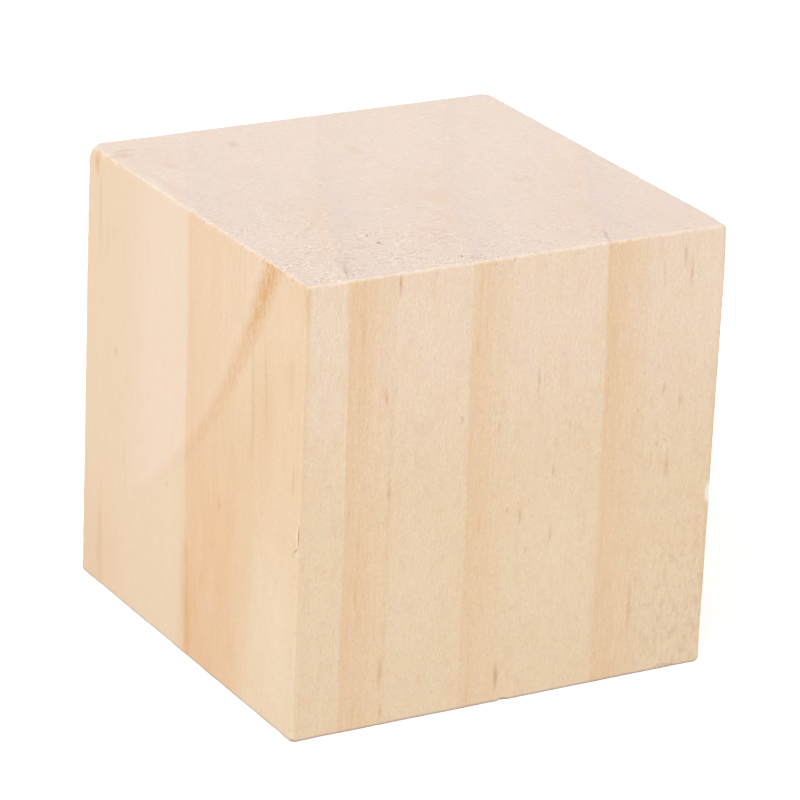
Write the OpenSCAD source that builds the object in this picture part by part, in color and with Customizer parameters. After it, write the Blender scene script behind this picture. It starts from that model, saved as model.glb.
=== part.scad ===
// Wooden cube: one block of fast-grown softwood, planed on the four sides
// that run with the grain and sawn across the grain at its top and underside.
// Origin: middle of the underside. +Z is up and runs with the grain, -Y is the
// front side and -X is the left-hand side.

/* [Block] */
// Side of the cube
side = 50; // [40:1:100]
// Radius of the four arrises that run with the grain
edge_ease = 0.35; // [0.1:0.05:1]
// Radius of the eight arrises round the two sawn ends
end_ease = 0.3; // [0.1:0.05:1]

/* [Worn corners] */
// How far an ordinary corner is worn down along its arrises
corner_reach = 0.8; // [0.6:0.1:3]
// How far the back left top corner, which has had a knock, is worn down
knocked_reach = 1.5; // [0.6:0.1:4]
// How far the front right top corner is worn down
rubbed_reach = 1.1; // [0.6:0.1:3]

/* [Chip in the front right arris] */
// Height of the middle of the chip above the underside
chip_height = 20.5; // [5:0.5:35]
// Length of the chip along the arris
chip_length = 1.3; // [0.8:0.1:3]
// Depth of the chip below the rounded arris
chip_depth = 0.25; // [0.15:0.05:0.8]

/* [Lifted sliver on the front left arris] */
// Height of the sliver's loose lower end above the underside
sliver_height = 21; // [5:0.5:35]
// Length of the sliver
sliver_length = 2.4; // [1:0.1:5]
// Distance of the split that frees the sliver from the left-hand side
sliver_width = 0.3; // [0.2:0.05:0.5]
// Width of the split at the sliver's loose end
split_width = 0.12; // [0.08:0.02:0.2]

/* [Bruise at the foot of the front left arris] */
// How far the bruise runs up the arris
bruise_length = 1.2; // [0.8:0.1:3]
// Depth of the bruise below the rounded arris
bruise_depth = 0.25; // [0.15:0.05:0.8]

/* [Nick in the front bottom arris] */
// Distance of the middle of the nick from the left-hand side
nick_offset = 25.3; // [5:0.1:35]
// Length of the nick along the arris
nick_length = 1.4; // [0.8:0.1:3]
// Depth of the nick below the rounded arris
nick_depth = 0.2; // [0.15:0.05:0.8]

/* [Hidden] */
$fn = 48;
half = side / 2;
// How far a cutter runs past the surface that it cuts
overrun = 1;
// Distance from the point of a square arris to its rounded face
edge_setback = edge_ease * (sqrt(2) - 1);
end_setback = end_ease * (sqrt(2) - 1);

// A square whose four corners are rounded, centred on the origin
module eased_square(width, radius) {
    inner = width - 2 * radius;
    square([width, inner], center = true);
    square([inner, width], center = true);
    for (x = [-1, 1], y = [-1, 1])
        translate([x * inner / 2, y * inner / 2]) circle(r = radius);
}

// A bar of that section through the middle of the block, along Z
module eased_bar(radius) {
    linear_extrude(height = side, center = true) eased_square(side, radius);
}

// The block as planed and sawn, with every arris eased
module eased_block() {
    translate([0, 0, half]) intersection() {
        eased_bar(edge_ease);
        rotate([90, 0, 0]) eased_bar(end_ease);
        rotate([0, 90, 0]) eased_bar(end_ease);
    }
}

// What wear takes off a corner at the origin, with the block on the +X, +Y, +Z
// side of it. The ball leaves a low dome that meets each arris at reach.
module worn_corner(reach) {
    inset = reach / (1 - sqrt(0.5));
    difference() {
        translate([-overrun, -overrun, -overrun]) cube(inset + overrun);
        translate([inset, inset, inset]) sphere(r = inset * sqrt(2.5), $fn = 96);
    }
}

// How far the corner on that side of the block (-1 or 1 along each axis) is worn
function wear_at(x, y, z) =
    x < 0 && y > 0 && z > 0 ? knocked_reach :
    x > 0 && y < 0 && z > 0 ? rubbed_reach :
    corner_reach;

// What wear takes off all eight corners
module worn_corners() {
    for (x = [-1, 1], y = [-1, 1], z = [-1, 1])
        translate([x * half, y * half, half + z * half])
            mirror([x > 0 ? 1 : 0, 0, 0])
                mirror([0, y > 0 ? 1 : 0, 0])
                    mirror([0, 0, z > 0 ? 1 : 0])
                        worn_corner(wear_at(x, y, z));
}

// What a knock takes off an arris that lies on the Z axis, with the block on
// the +X, +Y side of it: a scallop cut by a round cutter laid across the arris
module scallop(length, depth, setback) {
    radius = (length * length / 4 + depth * depth) / (2 * depth);
    reach = setback + depth;
    rotate([0, 0, 45]) translate([reach - radius, 0, 0]) rotate([90, 0, 0])
        cylinder(r = radius, h = 4 * reach, center = true);
}

// The chip half way up the front right arris
module chip() {
    translate([half, -half, chip_height]) mirror([1, 0, 0])
        scallop(chip_length, chip_depth, edge_setback);
}

// The bruise at the foot of the front left arris, the upper half of a scallop
module bruise() {
    translate([-half, -half, 0])
        scallop(2 * bruise_length, bruise_depth, edge_setback);
}

// The nick in the front bottom arris
module nick() {
    translate([nick_offset - half, -half, 0]) rotate([90, 0, 90])
        scallop(nick_length, nick_depth, end_setback);
}

// The split behind the sliver, a wedge that closes at the sliver's top
module split() {
    translate([sliver_width - half, -half, sliver_height]) rotate([90, 0, 0])
        linear_extrude(height = 2 * sliver_width, center = true)
            polygon([[0, 0], [split_width, 0], [0, sliver_length]]);
}

module block() {
    color("burlywood") difference() {
        eased_block();
        worn_corners();
        chip();
        bruise();
        nick();
        split();
    }
}

block();
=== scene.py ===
"""A plain softwood cube standing on a pale floor in soft studio light.

The cube is one solid piece of wood, 50 mm a side, whose fibres run upwards. Its four sides
show long grain and its top and bottom show end grain. One field of growth rings runs
through the whole block, so the bands on the sides meet the lines on the top.
"""

import logging
import math
from collections.abc import Sequence
from dataclasses import dataclass
from dataclasses import field
from enum import Enum

import bmesh
import bpy
import numpy as np
from mathutils import Matrix
from mathutils import Vector


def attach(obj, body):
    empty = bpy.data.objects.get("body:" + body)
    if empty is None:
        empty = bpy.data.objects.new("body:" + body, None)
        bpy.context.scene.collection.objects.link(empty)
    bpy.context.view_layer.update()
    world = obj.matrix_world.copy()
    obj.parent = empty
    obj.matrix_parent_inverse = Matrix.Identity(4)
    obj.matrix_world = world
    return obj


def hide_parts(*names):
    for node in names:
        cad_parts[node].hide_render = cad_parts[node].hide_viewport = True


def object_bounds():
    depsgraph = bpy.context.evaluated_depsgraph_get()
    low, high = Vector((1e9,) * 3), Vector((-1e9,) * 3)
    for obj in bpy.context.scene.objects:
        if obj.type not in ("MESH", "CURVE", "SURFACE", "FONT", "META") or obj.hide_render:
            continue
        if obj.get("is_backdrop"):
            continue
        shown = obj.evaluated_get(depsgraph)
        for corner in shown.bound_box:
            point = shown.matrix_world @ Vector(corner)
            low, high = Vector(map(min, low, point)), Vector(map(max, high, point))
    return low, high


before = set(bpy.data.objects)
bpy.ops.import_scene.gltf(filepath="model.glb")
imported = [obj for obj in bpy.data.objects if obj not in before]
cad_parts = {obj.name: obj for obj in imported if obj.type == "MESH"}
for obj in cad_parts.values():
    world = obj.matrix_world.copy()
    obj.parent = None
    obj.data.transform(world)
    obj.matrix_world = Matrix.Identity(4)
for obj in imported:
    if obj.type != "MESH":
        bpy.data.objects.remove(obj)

LOG = logging.getLogger("wooden_cube")
MM = 0.001
SIDE_MM = 50.0

Colour = tuple[float, float, float, float]
Triple = tuple[float, float, float]
Stops = Sequence[tuple[float, float]]
Socket = bpy.types.NodeSocket


def add_to_scene(name: str, data: bpy.types.ID) -> bpy.types.Object:
    """Make an object of a mesh, a light or a camera and put it in the scene.

    Args:
        name: Name of the object.
        data: What the object shows.

    Returns:
        The object.
    """
    thing = bpy.data.objects.new(name, data)
    bpy.context.scene.collection.objects.link(thing)
    return thing


def tint(red: float, green: float, blue: float) -> Colour:
    """Turn a colour as it looks on screen into the linear colour that a shader takes.

    The numbers in it are those of the usual screen curve.

    Args:
        red: Red from 0 to 255.
        green: Green from 0 to 255.
        blue: Blue from 0 to 255.

    Returns:
        The linear colour with full alpha.
    """
    linear = []
    for channel in (red, green, blue):
        value = channel / 255
        if value <= 0.04045:
            linear.append(value / 12.92)
        else:
            linear.append(((value + 0.055) / 1.055) ** 2.4)
    return (linear[0], linear[1], linear[2], 1.0)


class Side(Enum):
    """The faces of the block that carry marks of their own.

    Each value holds the outward direction and the direction that runs across the face from
    left to right, as someone in front of that face sees it.
    """

    FRONT = ((0, -1, 0), (1, 0, 0))
    LEFT = ((-1, 0, 0), (0, -1, 0))
    TOP = ((0, 0, 1), (1, 0, 0))

    @property
    def outward(self) -> Vector:
        """The outward unit direction of the face."""
        return Vector(self.value[0])

    @property
    def across(self) -> Vector:
        """The unit direction from the left edge of the face to its right edge."""
        return Vector(self.value[1])

    @property
    def down(self) -> Vector:
        """The unit direction from the upper edge of the face to its lower edge."""
        return (-self.outward).cross(self.across)

    def point(self, side: float, across: float, down: float) -> Vector:
        """Find a point of the face from its place in shares of the side.

        Args:
            side: Length of the block's side in metres.
            across: Place from the left edge, 0 to 1.
            down: Place from the upper edge, 0 to 1.

        Returns:
            The point in metres.
        """
        centre = Vector((0, 0, side / 2))
        corner = centre + (self.outward - self.across - self.down) * (side / 2)
        return corner + self.across * (across * side) + self.down * (down * side)


class Lattice:
    """Smooth noise in space that is the same on every run."""

    CELLS = 64

    def __init__(self, seed: int) -> None:
        """Fill the lattice with the random values of one seed."""
        shape = (self.CELLS, self.CELLS, self.CELLS)
        self.values = np.random.default_rng(seed).random(shape)

    def at(self, points: np.ndarray, wavelength: float, shift: float = 0.0) -> np.ndarray:
        """Read the noise at some points.

        Args:
            points: Points in millimetres, one a row.
            wavelength: Distance between lattice values in millimetres.
            shift: Distance that the points are moved first, to read another part of the noise.

        Returns:
            One value for each point, from -1 to 1.
        """
        places = (points + shift) / wavelength
        base = np.floor(places).astype(int)
        share = places - base
        share = share * share * (3 - 2 * share)
        total = np.zeros(len(points))
        for corner in np.ndindex(2, 2, 2):
            index = (base + corner) % self.CELLS
            weight = np.where(np.array(corner) == 1, share, 1 - share).prod(axis=1)
            total += weight * self.values[index[:, 0], index[:, 1], index[:, 2]]
        return total * 2 - 1


def smooth_step(values: np.ndarray, low: float, high: float) -> np.ndarray:
    """Rise smoothly from 0 for values up to low to 1 for values from high on."""
    share = np.clip((values - low) / (high - low), 0, 1)
    return share * share * (3 - 2 * share)


@dataclass(frozen=True)
class Bite:
    """A shallow bite that a knock took out of an arris, in millimetres.

    Attributes:
        middle: Point of the arris at the middle of the bite.
        along: Axis of the arris, 0 for X, 1 for Y and 2 for Z.
        length: Length of the bite along the arris.
        depth: Depth of the bite below the sharp arris.
    """

    middle: Triple
    along: int
    length: float
    depth: float


@dataclass(frozen=True)
class Dent:
    """A small hollow pressed or torn into a face, in millimetres.

    Attributes:
        side: Face that carries the hollow.
        across: Distance of its middle from the left edge of the face.
        down: Distance of its middle from the upper edge of the face.
        width: Full width.
        length: Full length.
        depth: Depth at the middle.
        lean: Turn of its length from upright, in degrees.
    """

    side: Side
    across: float
    down: float
    width: float
    length: float
    depth: float
    lean: float = 0.0


@dataclass(frozen=True)
class CornerWear:
    """Wear of one corner, in millimetres.

    Attributes:
        corner: Signs of the corner along X, Y and Z.
        reach: Distances that the wear runs back along the three arrises.
    """

    corner: tuple[int, int, int]
    reach: Triple


@dataclass
class WornBlock:
    """The cube's surface with its eased arrises, rounded corners and small damage.

    Lengths are in millimetres.

    Attributes:
        side: Length of the side.
        first_ease: Width of the narrow facets that the worn arrises are shaped from.
        ease_steps: Narrow facets across each arris.
        steps_along: Facets along each arris.
        rings: Distances of the rings of fine facets from the edge of each face.
        ease: Mean radius of the arrises.
        least_ease: Smallest radius of the arrises.
        worn_reach: Greatest distance from an arris at which wear moves the surface.
        passes: Rounds in which the surface is drawn in to the worn shape.
        probe: Length of the step that measures a slope.
        longest_pull: Greatest movement in one round.
        fresh_size: Half sizes of the pale spot of fresh wood at the first bite.
        skin: Depth below a face that a hollow still reaches.
        seed: Seed of the unevenness.
        corners: Wear of the corners.
        bites: Bites out of the arrises.
        dents: Hollows in the faces.
    """

    side: float = SIDE_MM
    first_ease: float = 0.1
    ease_steps: int = 4
    steps_along: int = 320
    rings: tuple[float, ...] = (0.1, 0.2, 0.32, 0.48, 0.7, 1.1, 1.8)
    ease: float = 0.25
    least_ease: float = 0.12
    worn_reach: float = 1.5
    passes: int = 12
    probe: float = 0.004
    longest_pull: float = 0.25
    fresh_size: Triple = (0.75, 0.75, 1.5)
    skin: float = 0.8
    seed: int = 11
    corners: tuple[CornerWear, ...] = (
        CornerWear((-1, 1, 1), (2.2, 2.0, 2.6)),
        CornerWear((1, -1, 1), (1.7, 1.3, 1.4)),
        CornerWear((1, 1, 1), (1.5, 1.5, 1.2)),
        CornerWear((-1, -1, 1), (0.6, 0.5, 0.7)),
        CornerWear((-1, -1, -1), (0.9, 0.8, 1.0)),
        CornerWear((1, -1, -1), (1.1, 0.9, 1.0)),
        CornerWear((-1, 1, -1), (0.8, 0.9, 0.7)),
        CornerWear((1, 1, -1), (0.8, 0.7, 0.9)),
    )
    bites: tuple[Bite, ...] = (
        Bite((25, -25, 19.9), 2, 2.0, 0.24),
        Bite((-25, -25, 0.9), 2, 1.3, 0.16),
        Bite((0.3, -25, 0), 0, 1.4, 0.28),
    )
    dents: tuple[Dent, ...] = (
        Dent(Side.FRONT, 0.08, 27.0, 0.14, 2.4, 0.25, 1.0),
        Dent(Side.LEFT, 49.45, 28.7, 0.18, 1.7, 0.12, 44.0),
        Dent(Side.LEFT, 27.4, 0.3, 0.3, 0.5, 0.1),
        Dent(Side.LEFT, 35.8, 0.4, 0.3, 0.6, 0.12),
        Dent(Side.LEFT, 38.0, 0.4, 0.26, 0.5, 0.12),
        Dent(Side.LEFT, 40.5, 0.3, 0.3, 0.5, 0.1),
        Dent(Side.LEFT, 41.7, 0.4, 0.24, 0.6, 0.12),
        Dent(Side.LEFT, 46.9, 0.3, 0.3, 0.5, 0.1),
    )

    def __post_init__(self) -> None:
        """Prepare the noise that makes the arrises uneven."""
        self.noise = Lattice(self.seed)
        self.half = self.side / 2

    def build(self) -> bpy.types.Object:
        """Make the block's mesh.

        Returns:
            The finished object, in metres and in its place.
        """
        surface = self.fine_cube()
        self.refine(surface)
        mesh = bpy.data.meshes.new("worn_block")
        surface.to_mesh(mesh)
        surface.free()
        plain = np.empty(len(mesh.vertices) * 3)
        mesh.vertices.foreach_get("co", plain)
        plain = plain.reshape(-1, 3)
        points, hollow = self.press_dents(self.wear_down(plain))
        chip = (plain - self.bites[0].middle) / self.fresh_size
        fresh = 1 - smooth_step(np.linalg.norm(chip, axis=1), 0.5, 1.15)
        arris = self.arris_distance(plain)
        mesh.vertices.foreach_set("co", (points * MM).ravel())
        for name, values in (("fresh", fresh), ("hollow", hollow), ("arris", arris)):
            layer = mesh.attributes.new(name, "FLOAT", "POINT")
            layer.data.foreach_set("value", values.astype(np.float32))
        mesh.polygons.foreach_set("use_smooth", [True] * len(mesh.polygons))
        mesh.update()
        return add_to_scene("worn_block", mesh)

    def fine_cube(self) -> bmesh.types.BMesh:
        """Make a cube whose arrises and the strips beside them are cut into fine facets.

        Returns:
            The surface in millimetres, with its underside at height 0.
        """
        surface = bmesh.new()
        up = Matrix.Translation((0, 0, self.half))
        bmesh.ops.create_cube(surface, size=self.side, matrix=up)
        bmesh.ops.bevel(
            surface,
            geom=surface.edges[:],
            offset=self.first_ease,
            offset_type="OFFSET",
            segments=self.ease_steps,
            profile=0.5,
            affect="EDGES",
            material=-1,
        )
        faces = [face for face in surface.faces if face.calc_area() > self.side]
        bmesh.ops.delete(surface, geom=faces, context="FACES_ONLY")
        long_edges = [edge for edge in surface.edges if edge.calc_length() > self.half]
        bmesh.ops.subdivide_edges(
            surface, edges=long_edges, cuts=self.steps_along - 1, use_grid_fill=True
        )
        open_edges = [edge for edge in surface.edges if len(edge.link_faces) == 1]
        filled = bmesh.ops.edgeloop_fill(surface, edges=open_edges)["faces"]
        for face in filled:
            self.add_rings(surface, face)
        bmesh.ops.recalc_face_normals(surface, faces=surface.faces[:])
        return surface

    def add_rings(self, surface: bmesh.types.BMesh, face: bmesh.types.BMFace) -> None:
        """Cut rings of fine facets just inside the edge of a flat face.

        Args:
            surface: Surface that holds the face.
            face: Flat square face.
        """
        centre = face.calc_center_median()
        first_inset = 0.001
        for distance in self.rings:
            bmesh.ops.inset_individual(surface, faces=[face], thickness=first_inset)
            corner = max((vertex.co - centre).length for vertex in face.verts)
            wanted = (self.half - self.first_ease - distance) * math.sqrt(2)
            factor = wanted / corner
            bmesh.ops.scale(
                surface,
                vec=(factor, factor, factor),
                space=Matrix.Translation(-centre),
                verts=face.verts[:],
            )

    def refine(self, surface: bmesh.types.BMesh) -> None:
        """Cut the facets finer where the small damage lies.

        Args:
            surface: Surface to refine.
        """
        rounds = 2
        bite_margin, bite_facet = 0.25, 0.07
        dent_margin, dent_facet = 0.1, 0.06
        zones = []
        for bite in self.bites:
            zones.append((Vector(bite.middle), bite.length / 2 + bite_margin, bite_facet))
        for dent in self.dents:
            zones.append((self.dent_middle(dent), dent.length / 2 + dent_margin, dent_facet))
        for middle, reach, longest in zones:
            for _ in range(rounds):
                chosen = []
                for edge in surface.edges:
                    near = all((v.co - middle).length < reach for v in edge.verts)
                    if near and edge.calc_length() > longest:
                        chosen.append(edge)
                if chosen:
                    bmesh.ops.subdivide_edges(surface, edges=chosen, cuts=1, use_grid_fill=True)

    def dent_middle(self, dent: Dent) -> Vector:
        """Find the middle of a hollow on its face."""
        return dent.side.point(self.side, dent.across / self.side, dent.down / self.side)

    def top_corner(self, x: int, y: int) -> Triple:
        """Find an upper corner from its signs along X and Y."""
        return (x * self.half, y * self.half, self.side)

    def from_centre(self, points: np.ndarray) -> np.ndarray:
        """Give the points with the cube's middle as origin."""
        return points - (0, 0, self.half)

    def arris_distance(self, points: np.ndarray) -> np.ndarray:
        """Measure how far points of the surface lie from the nearest arris, up to the reach."""
        spread = np.sort(np.abs(self.from_centre(points)), axis=1)
        return np.clip(self.half - spread[:, 1], 0, self.worn_reach)

    def ragged_ease(self, points: np.ndarray) -> np.ndarray:
        """Give the radius of the nearest arris at each point.

        It is larger at the rubbed front right corner and at the knocked back left one, very
        uneven along the crumbled top left arris, and half as large on the front left arris.

        Args:
            points: Points in millimetres.

        Returns:
            Radii in millimetres.
        """
        slow = self.noise.at(points, 3.1)
        quick = self.noise.at(points, 0.8, 17.3)
        fine = self.noise.at(points, 0.33, 41.7)
        radius = self.ease * (1 + 0.25 * slow + 0.22 * quick + 0.15 * fine)
        to_rubbed = np.linalg.norm(points - self.top_corner(1, -1), axis=1)
        radius += 0.22 * (1 - smooth_step(to_rubbed, 1.0, 3.2))
        drawn_out = (1.0, 3.0, 1.0)
        to_knocked = np.linalg.norm((points - self.top_corner(-1, 1)) / drawn_out, axis=1)
        radius += 0.15 * (1 - smooth_step(to_knocked, 1.5, 5.0)) * (1 + 0.4 * slow)
        past_left = -points[:, 0] - self.half
        past_front = -points[:, 1] - self.half
        past_top = points[:, 2] - self.side
        crumbled = smooth_step(np.minimum(past_left, past_top), -3.0, -1.5)
        radius *= 1 + crumbled * np.clip(0.8 * quick + 0.9 * fine, -0.6, 0.8)
        crisp = smooth_step(np.minimum(past_left, past_front), -3.0, -1.5)
        radius *= 0.5 + 0.5 * (1 - crisp)
        return np.maximum(radius, self.least_ease)

    def eased(self, points: np.ndarray, radius: np.ndarray) -> np.ndarray:
        """Measure how far points lie outside the cube with uneven, rounded arrises.

        Args:
            points: Points in millimetres.
            radius: Radius of the nearest arris at each point.

        Returns:
            Distances, below zero inside.
        """
        spread = np.abs(self.from_centre(points)) - (self.half - radius)[:, None]
        outside = np.linalg.norm(np.maximum(spread, 0), axis=1)
        inside = np.minimum(spread.max(axis=1), 0)
        return outside + inside - radius

    def roughness(self, points: np.ndarray) -> np.ndarray:
        """Give the height of torn wood at each point, in millimetres."""
        return 0.05 * self.noise.at(points, 0.4, 5.2) + 0.02 * self.noise.at(points, 0.15, 9.1)

    def bitten(self, points: np.ndarray, rough: np.ndarray) -> np.ndarray:
        """Measure how far points lie inside the bites and the lost corners.

        Args:
            points: Points in millimetres.
            rough: Unevenness of torn wood at each point.

        Returns:
            Depths, below zero where nothing is lost.
        """
        far_off = -10.0
        depth = np.full(len(points), far_off)
        centred = self.from_centre(points)
        for bite in self.bites:
            outward = np.sign(self.from_centre(np.array([bite.middle]))[0])
            outward[bite.along] = 0
            outward = outward / np.linalg.norm(outward)
            radius = (bite.length**2 / 4 + bite.depth**2) / (2 * bite.depth)
            offset = points - np.array(bite.middle)
            along = offset[:, bite.along]
            away = offset @ outward
            gap = np.hypot(along, away - (radius - bite.depth))
            depth = np.maximum(depth, radius - gap + rough)
        for wear in self.corners:
            signs = np.array(wear.corner)
            reach = np.array(wear.reach)
            gone = (self.half - centred * signs) / reach
            size = reach.mean()
            spread = np.linalg.norm(np.maximum(1 - gone, 0), axis=1)
            depth = np.maximum(depth, (spread - math.sqrt(2)) * size + rough)
        return depth

    def wear_down(self, points: np.ndarray) -> np.ndarray:
        """Draw the points in to the worn shape.

        Args:
            points: Points of the sharper cube in millimetres.

        Returns:
            The points of the worn cube.
        """
        moved = points.copy()
        least_steepness = 0.25
        near = np.flatnonzero(self.arris_distance(points) < self.worn_reach)
        active = moved[near]
        radius = self.ragged_ease(active)
        rough = self.roughness(active)
        for _ in range(self.passes):
            gap = np.maximum(self.eased(active, radius), self.bitten(active, rough))
            slope = np.empty_like(active)
            for axis in range(3):
                ahead = active.copy()
                ahead[:, axis] += self.probe
                beyond = np.maximum(self.eased(ahead, radius), self.bitten(ahead, rough))
                slope[:, axis] = (beyond - gap) / self.probe
            steepness = np.maximum((slope**2).sum(axis=1), least_steepness)
            pull = np.clip(gap, 0, self.longest_pull) / steepness
            active = active - slope * pull[:, None]
        low = (-self.half, -self.half, 0)
        high = (self.half, self.half, self.side)
        moved[near] = np.clip(active, low, high)
        return moved

    def press_dents(self, points: np.ndarray) -> tuple[np.ndarray, np.ndarray]:
        """Press the hollows into the faces.

        Args:
            points: Points of the worn cube in millimetres.

        Returns:
            The pressed points, and how hollow each is from 0 to 1, which is also the share of
            painted shade in the hollows.
        """
        hollow = np.zeros(len(points))
        pressed = points.copy()
        for dent in self.dents:
            across = np.array(dent.side.across)
            down = np.array(dent.side.down)
            outward = np.array(dent.side.outward)
            offset = points - np.array(self.dent_middle(dent))
            turn = math.radians(dent.lean)
            wide = across * math.cos(turn) + down * math.sin(turn)
            long = down * math.cos(turn) - across * math.sin(turn)
            reach = (offset @ wide / (dent.width / 2)) ** 2
            reach += (offset @ long / (dent.length / 2)) ** 2
            reach += (offset @ outward / self.skin) ** 2
            share = np.clip(1 - reach, 0, 1)
            pressed -= np.outer(share * dent.depth, outward)
            hollow = np.maximum(hollow, share)
        return pressed, hollow


class Tone(Enum):
    """The colours that marks in the wood take."""

    DARK = tint(130, 100, 76)
    BROWN = tint(178, 118, 52)
    RUST = tint(221, 165, 110)
    ROSE = tint(234, 198, 178)
    PALE = tint(250, 238, 222)


STROKE_REACH = 0.6


@dataclass(frozen=True)
class Stroke:
    """A small mark in the wood of one face, with its place in shares of the side.

    Attributes:
        side: Face that carries the mark.
        tone: Colour of the mark.
        across: Place of its middle from the left edge of the face, 0 to 1.
        down: Place of its middle from the upper edge of the face, 0 to 1.
        width: Full width in millimetres.
        length: Full length in millimetres.
        strength: Share of the mark's colour at its middle.
        lean: Turn of its length from upright, in degrees, positive towards the left at its foot.
    """

    side: Side
    tone: Tone
    across: float
    down: float
    width: float
    length: float
    strength: float
    lean: float = 0.0

    @property
    def half_sizes(self) -> Triple:
        """Half its width, its length and its depth, in metres."""
        return (self.width * MM / 2, self.length * MM / 2, STROKE_REACH * MM)


class NodeSketch:
    """Adds shader nodes to one node tree and joins them."""

    WHITE: Colour = (1.0, 1.0, 1.0, 1.0)
    ONES: Triple = (1.0, 1.0, 1.0)
    MEANS: Triple = (0.5, 0.5, 0.5)
    PALE_WOOD: Triple = (1.0, 1.1, 1.25)

    def __init__(self, owner: bpy.types.Material | bpy.types.World) -> None:
        """Empty the node tree of a material or a world, to draw on it.

        Args:
            owner: Material or world that takes the nodes.
        """
        owner.use_nodes = True
        self.tree = owner.node_tree
        self.tree.nodes.clear()

    def add(self, kind: str) -> bpy.types.Node:
        """Add a node of one kind."""
        return self.tree.nodes.new(kind)

    def feed(self, target: Socket, source: object) -> None:
        """Give a socket a link or a plain value.

        Args:
            target: Socket to feed.
            source: Another socket, a number, a vector or a colour.
        """
        if isinstance(source, bpy.types.NodeSocket):
            self.tree.links.new(source, target)
        else:
            target.default_value = source

    def math(self, operation: str, *terms: object, clamp: bool = False) -> Socket:
        """Add a math node.

        Args:
            operation: Name of the operation.
            terms: Its terms, sockets or numbers.
            clamp: Keep the result between 0 and 1.

        Returns:
            The result.
        """
        node = self.add("ShaderNodeMath")
        node.operation = operation
        node.use_clamp = clamp
        for socket, term in zip(node.inputs, terms):
            self.feed(socket, term)
        return node.outputs[0]

    def vector_math(self, operation: str, *terms: object) -> Socket:
        """Add a vector math node.

        Args:
            operation: Name of the operation.
            terms: Its terms, sockets or vectors.

        Returns:
            The resulting vector.
        """
        node = self.add("ShaderNodeVectorMath")
        node.operation = operation
        for socket, term in zip(node.inputs, terms):
            self.feed(socket, term)
        return node.outputs[0]

    def times(self, first: object, *others: object) -> Socket:
        """Multiply a value by others, one after another.

        Args:
            first: First value.
            others: Values that it is multiplied by.

        Returns:
            The product.
        """
        product = first
        for other in others:
            product = self.math("MULTIPLY", product, other)
        return product

    def rest(self, share: object) -> Socket:
        """Give what a share leaves of 1."""
        return self.math("SUBTRACT", 1.0, share)

    def swing(self, noise: Socket, amount: object, base: object) -> Socket:
        """Let a noise move a base value to both sides, by half the amount at most."""
        return self.math("MULTIPLY_ADD", self.math("SUBTRACT", noise, 0.5), amount, base)

    def split(self, vector: Socket) -> tuple[Socket, Socket, Socket]:
        """Split a vector into its X, Y and Z.

        Args:
            vector: Vector to split.

        Returns:
            Its X, Y and Z.
        """
        node = self.add("ShaderNodeSeparateXYZ")
        self.feed(node.inputs[0], vector)
        return node.outputs[0], node.outputs[1], node.outputs[2]

    def grey(self, value: Socket) -> Socket:
        """Use one value for all three channels.

        Args:
            value: Value to repeat.

        Returns:
            The vector.
        """
        node = self.add("ShaderNodeCombineXYZ")
        for socket in node.inputs:
            self.feed(socket, value)
        return node.outputs[0]

    def fade(
        self, value: Socket, low: float, high: float, first: float = 0.0, last: float = 1.0
    ) -> Socket:
        """Go smoothly from one value to another.

        Args:
            value: Value that drives the change.
            low: Where the change starts.
            high: Where the change ends.
            first: Result up to the start.
            last: Result from the end on.

        Returns:
            The result.
        """
        node = self.add("ShaderNodeMapRange")
        node.interpolation_type = "SMOOTHSTEP"
        self.feed(node.inputs["Value"], value)
        node.inputs["From Min"].default_value = low
        node.inputs["From Max"].default_value = high
        node.inputs["To Min"].default_value = first
        node.inputs["To Max"].default_value = last
        return node.outputs["Result"]

    def ramp(self, value: Socket, stops: Stops) -> Socket:
        """Read a value off a line with several stops.

        Args:
            value: Place on the line, 0 to 1.
            stops: Places and their values, 0 to 1.

        Returns:
            The value at the place.
        """
        node = self.add("ShaderNodeValToRGB")
        line = node.color_ramp
        line.interpolation = "LINEAR"
        while len(line.elements) < len(stops):
            line.elements.new(0.5)
        for element, (place, level) in zip(line.elements, stops):
            element.position = place
            element.color = (level, level, level, 1)
        self.feed(node.inputs["Fac"], value)
        return node.outputs["Color"]

    def blend(self, share: object, first: object, second: object) -> Socket:
        """Blend two colours.

        Args:
            share: Share of the second colour.
            first: First colour.
            second: Second colour.

        Returns:
            The blended colour.
        """
        node = self.add("ShaderNodeMix")
        node.data_type = "RGBA"
        self.feed(node.inputs[0], share)
        self.feed(node.inputs[6], first)
        self.feed(node.inputs[7], second)
        return node.outputs[2]

    def between(self, share: object, first: object, second: object) -> Socket:
        """Go from one value to another.

        Args:
            share: Share of the second value.
            first: First value.
            second: Second value.

        Returns:
            The value between them.
        """
        node = self.add("ShaderNodeMix")
        node.data_type = "FLOAT"
        self.feed(node.inputs[0], share)
        self.feed(node.inputs[2], first)
        self.feed(node.inputs[3], second)
        return node.outputs[0]

    def lighten(self, noise: Socket, amount: object, colour: Socket) -> Socket:
        """Let a noise make a colour lighter and darker.

        Blue and green move a little more than red, as they do in pale wood.

        Args:
            noise: Noise with a mean of 0.5.
            amount: Full width of the movement of red.
            colour: Colour that is changed.

        Returns:
            The changed colour.
        """
        swing = self.times(self.math("SUBTRACT", noise, 0.5), amount)
        factor = self.vector_math("MULTIPLY_ADD", self.grey(swing), self.PALE_WOOD, self.ONES)
        return self.vector_math("MULTIPLY", colour, factor)

    def tinge(self, noise: Socket, amounts: Triple, colour: Socket) -> Socket:
        """Let the channels of a noise move the channels of a colour.

        Args:
            noise: Noise whose channels have a mean of 0.5.
            amounts: Full widths of the movements of red, green and blue.
            colour: Colour that is changed.

        Returns:
            The changed colour.
        """
        centred = self.vector_math("SUBTRACT", noise, self.MEANS)
        factor = self.vector_math("MULTIPLY_ADD", centred, amounts, self.ONES)
        return self.vector_math("MULTIPLY", colour, factor)

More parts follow.
